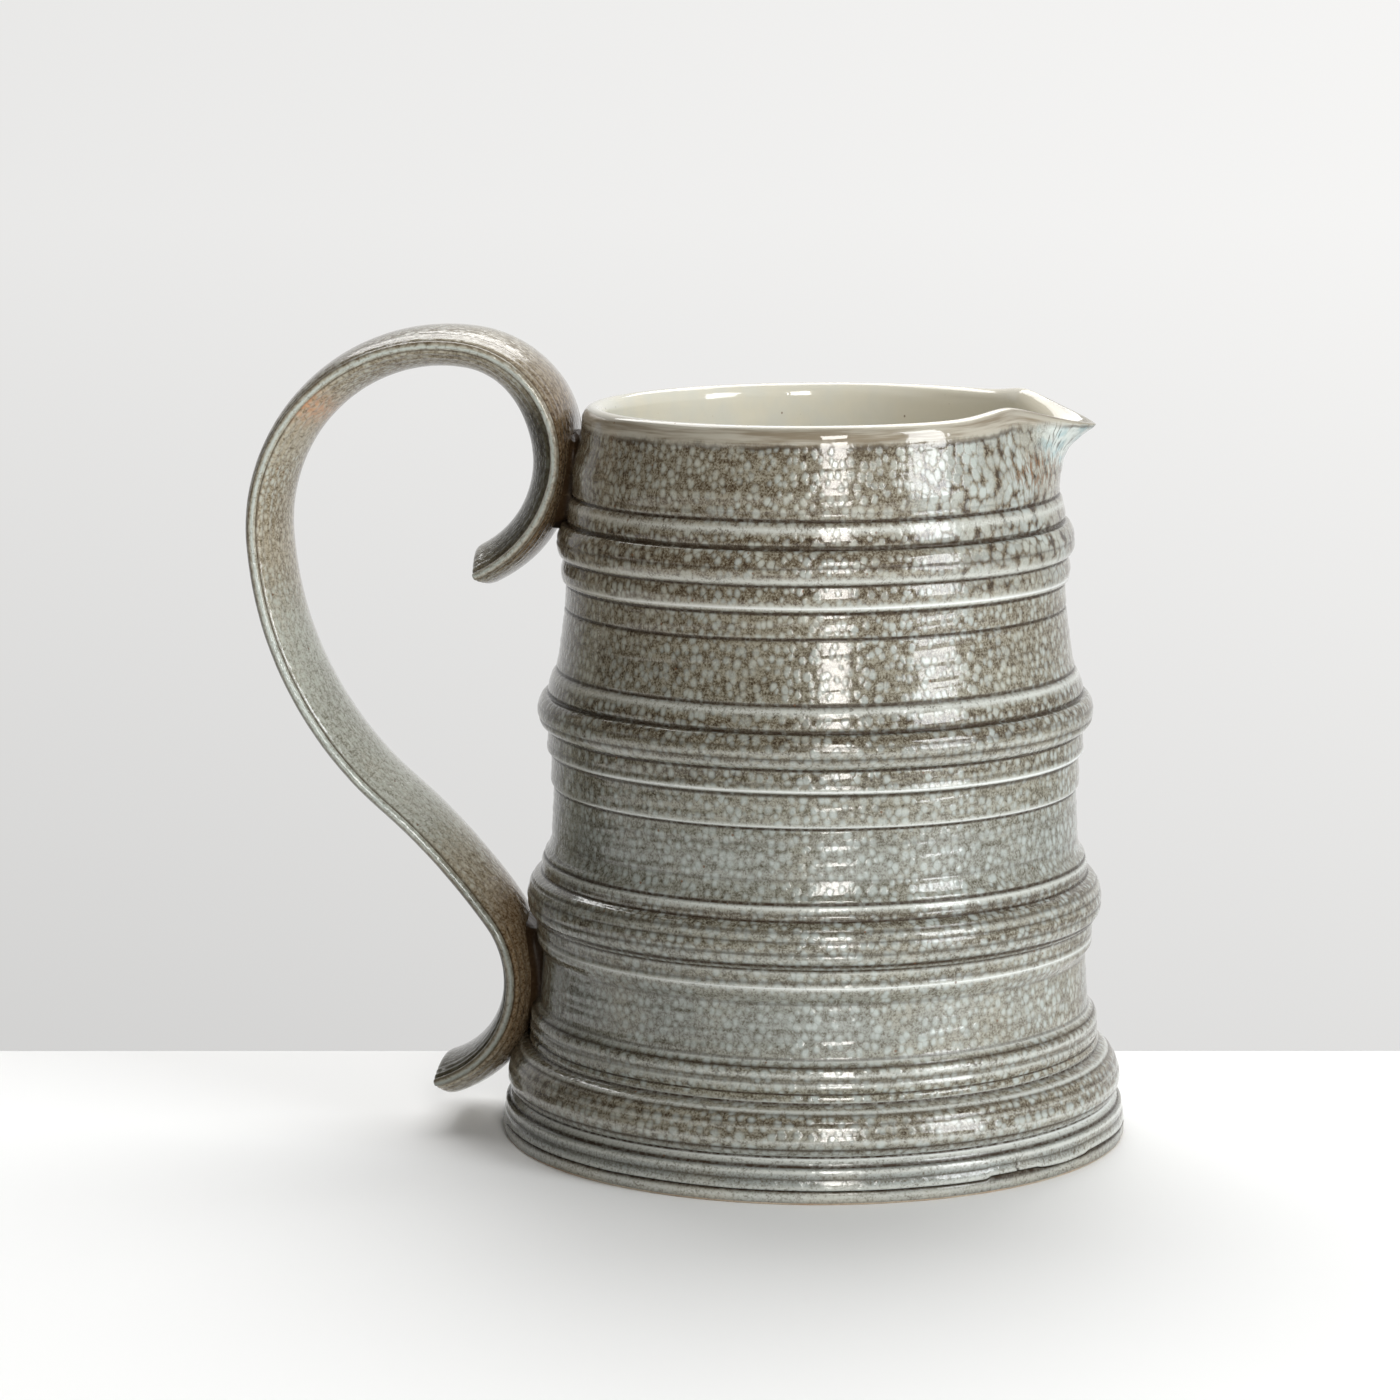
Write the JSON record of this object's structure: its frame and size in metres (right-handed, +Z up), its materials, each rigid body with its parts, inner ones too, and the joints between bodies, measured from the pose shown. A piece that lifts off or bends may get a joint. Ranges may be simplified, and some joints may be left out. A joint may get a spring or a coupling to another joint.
{
  "type": "stoneware pouring jug",
  "caption": "Ringed tankard-shaped stoneware jug with a pulled pouring lip and a scrolled strap handle, for serving beer or water.",
  "frame": {"origin": "centre of the flat underside of the base, on the axis the wall was thrown about", "axes": "+Z up along that axis, +X towards the pouring lip, handle on the -X side in the plane y = 0"},
  "size_m": [0.1984, 0.14, 0.18],
  "materials": {
    "wall_glaze": "glossy mottled salt glaze, brown in the grooves and pale celadon on the rings; a smooth pale liner glaze inside and over the rim",
    "strap_glaze": "glossy mottled salt glaze with pale rounded edges and warm brown flashing at the joints",
    "base_clay": "salt glazed edge with a ragged seam, matt bare stoneware underneath"
  },
  "bodies": {
    "root": {"body_wall": "wall_glaze", "base_disc": "base_clay", "handle_strap": "strap_glaze", "upper_handle_joint": "wall_glaze", "lower_handle_joint": "wall_glaze"}
  },
  "joints": []
}
